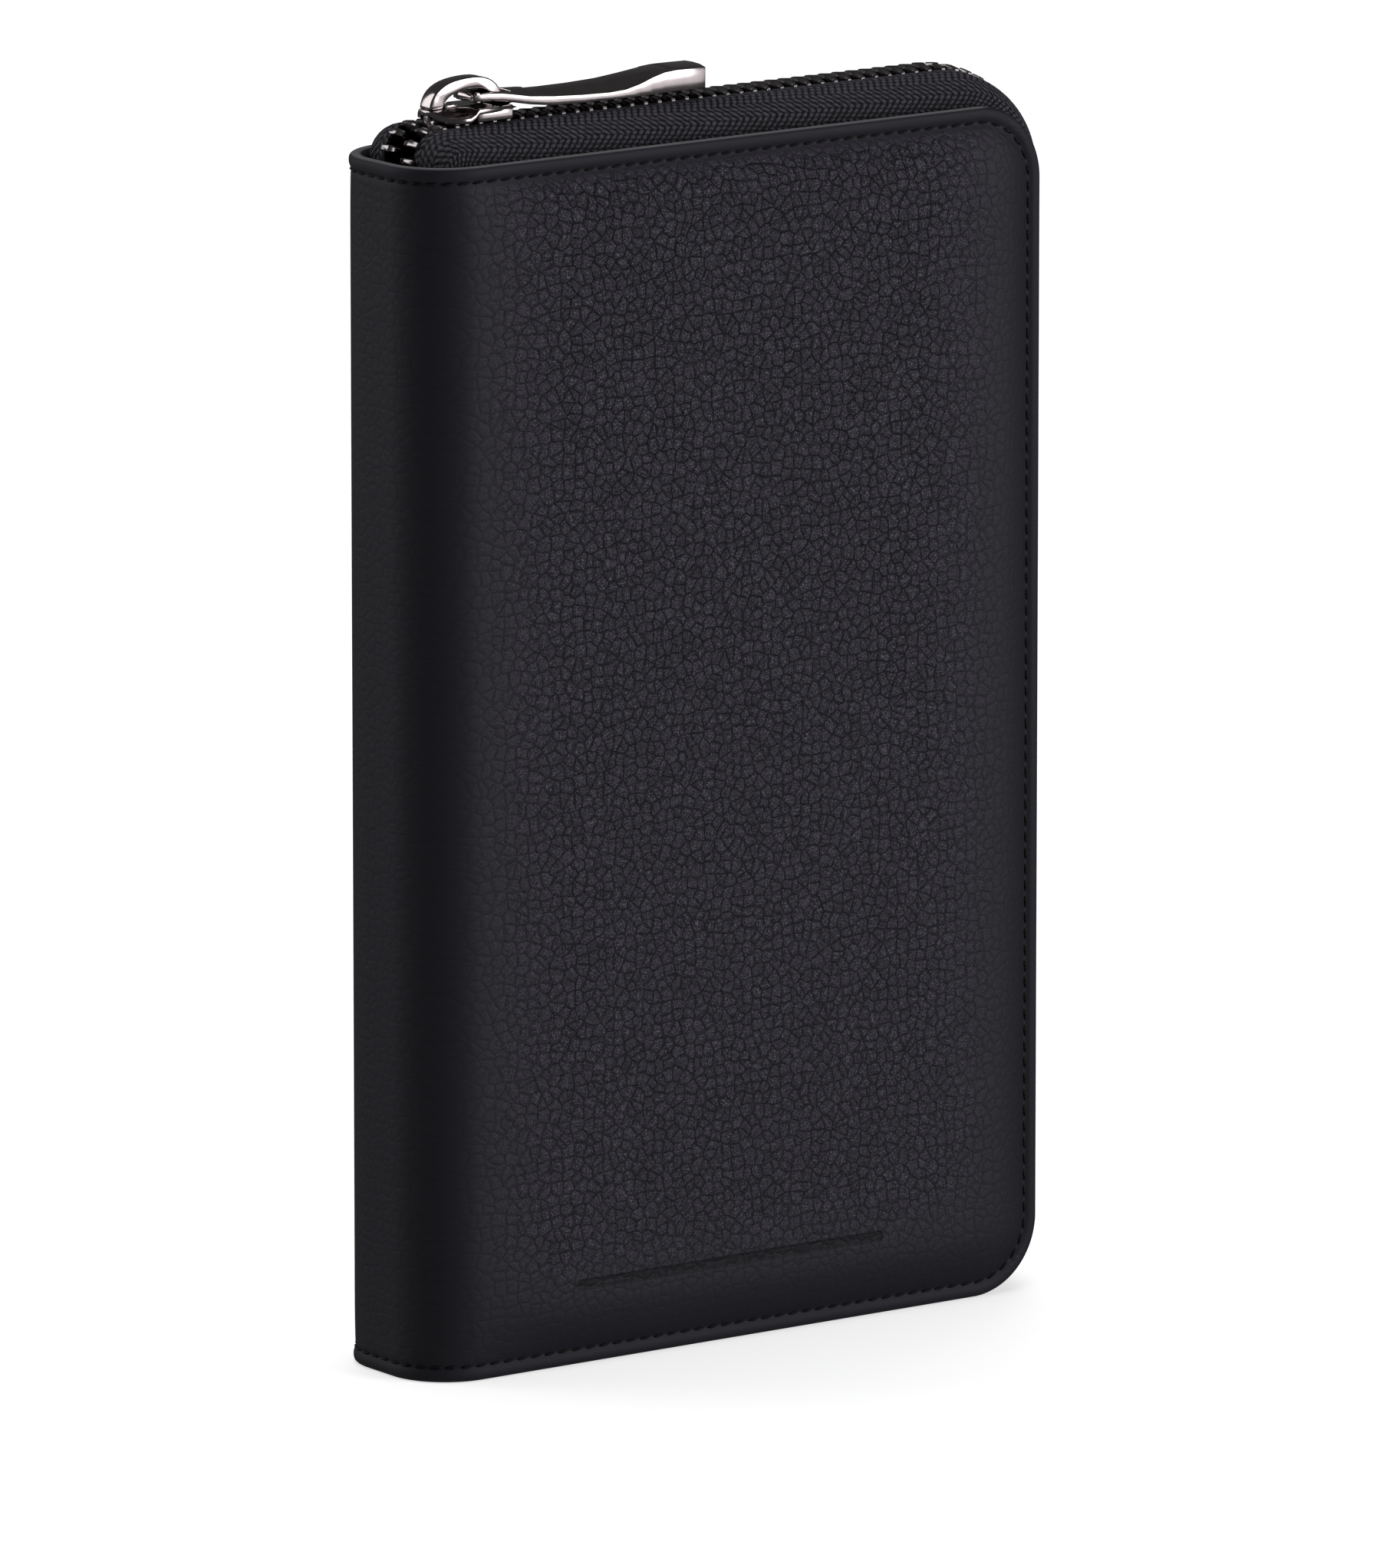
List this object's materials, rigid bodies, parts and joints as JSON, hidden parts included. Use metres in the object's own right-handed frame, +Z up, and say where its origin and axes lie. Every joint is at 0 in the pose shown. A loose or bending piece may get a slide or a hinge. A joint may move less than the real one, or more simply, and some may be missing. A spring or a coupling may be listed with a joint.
{
  "type": "travel document organizer",
  "caption": "Zip-around padded leather travel wallet that opens like a book, with document, passport and card pockets, a zipped coin leaf, pen loop and zip puller.",
  "frame": {"origin": "middle of the bounding box's bottom face, on the surface that the bottom edges of the covers stand on", "axes": "+X from the spine to the zip side, +Y from the front cover to the rear cover, +Z up the height of the covers"},
  "size_m": [0.142, 0.0368, 0.2334],
  "materials": {
    "leather": "pebbled full-grain, near black",
    "rim": "smooth rolled edge",
    "foam": "closed-cell padding",
    "board": "bookbinding board",
    "lining": "woven lining",
    "pocket": "smooth leather",
    "thread": "bonded thread",
    "tape": "herringbone zip tape",
    "elastic": "ribbed elastic",
    "metal": "polished gunmetal"
  },
  "bodies": {
    "spine": {"spine_leather": "leather", "spine_lining": "lining", "spine_stiffener": "board", "spine_head_stitching": "thread", "spine_tail_stitching": "thread", "pen_loop": "elastic", "coin_pocket_gusset": "lining", "coin_pocket_front_panel": "pocket", "coin_pocket_rear_panel": "pocket", "coin_zip_front_tape": "tape", "coin_zip_rear_tape": "tape", "coin_zip_front_teeth": "metal", "coin_zip_rear_teeth": "metal"},
    "front_cover": {"front_cover_leather": "leather", "front_cover_stitching": "thread", "front_cover_padding": "foam", "front_cover_board": "board", "front_cover_rim": "rim", "front_cover_lining": "lining", "front_zip_tape": "tape", "front_zip_teeth": "metal", "front_document_pocket": "pocket", "front_passport_pocket": "pocket"},
    "rear_cover": {"rear_cover_leather": "leather", "rear_cover_stitching": "thread", "rear_cover_padding": "foam", "rear_cover_board": "board", "rear_cover_rim": "rim", "rear_cover_lining": "lining", "rear_zip_tape": "tape", "rear_zip_teeth": "metal", "rear_slip_pocket": "pocket", "card_slot_1": "pocket", "card_slot_2": "pocket", "card_slot_3": "pocket", "card_slot_4": "pocket", "card_slot_5": "pocket", "card_slot_6": "pocket"},
    "main_slider": {"slider_body": "metal", "slider_bridge": "metal", "slider_lock_spring": "metal"},
    "main_puller": {"zip_puller": "metal"},
    "coin_slider": {"coin_slider_body": "metal", "coin_slider_bridge": "metal"},
    "coin_puller": {"coin_zip_puller": "metal"}
  },
  "joints": [
    {"name": "front_cover_hinge", "type": "hinge", "parent": "spine", "child": "front_cover", "pos_m": [-0.06817, -0.01342, 0], "axis": [0, 0, -1], "range_deg": [0, 90], "deforming": ["front_zip_tape", "front_zip_teeth", "rear_zip_tape", "rear_zip_teeth"]},
    {"name": "rear_cover_hinge", "type": "hinge", "parent": "spine", "child": "rear_cover", "pos_m": [-0.06817, 0.01342, 0], "axis": [0, 0, 1], "range_deg": [0, 90], "deforming": ["front_zip_tape", "front_zip_teeth", "rear_zip_tape", "rear_zip_teeth"]},
    {"name": "main_slider_slide", "type": "slide", "parent": "rear_cover", "child": "main_slider", "axis": [1, 0, 0], "range_m": [0, 0.09], "deforming": ["front_zip_tape", "front_zip_teeth", "rear_zip_tape", "rear_zip_teeth"]},
    {"name": "main_puller_hinge", "type": "hinge", "parent": "main_slider", "child": "main_puller", "pos_m": [-0.0502, 0, 0.2297], "axis": [0, -1, 0], "range_deg": [0, 150]},
    {"name": "coin_slider_slide", "type": "slide", "parent": "spine", "child": "coin_slider", "axis": [1, 0, 0], "range_m": [0, 0.088], "deforming": ["coin_zip_front_teeth", "coin_zip_rear_teeth"]},
    {"name": "coin_puller_hinge", "type": "hinge", "parent": "coin_slider", "child": "coin_puller", "pos_m": [-0.0486, 0, 0.1887], "axis": [0, -1, 0], "range_deg": [0, 150]}
  ]
}
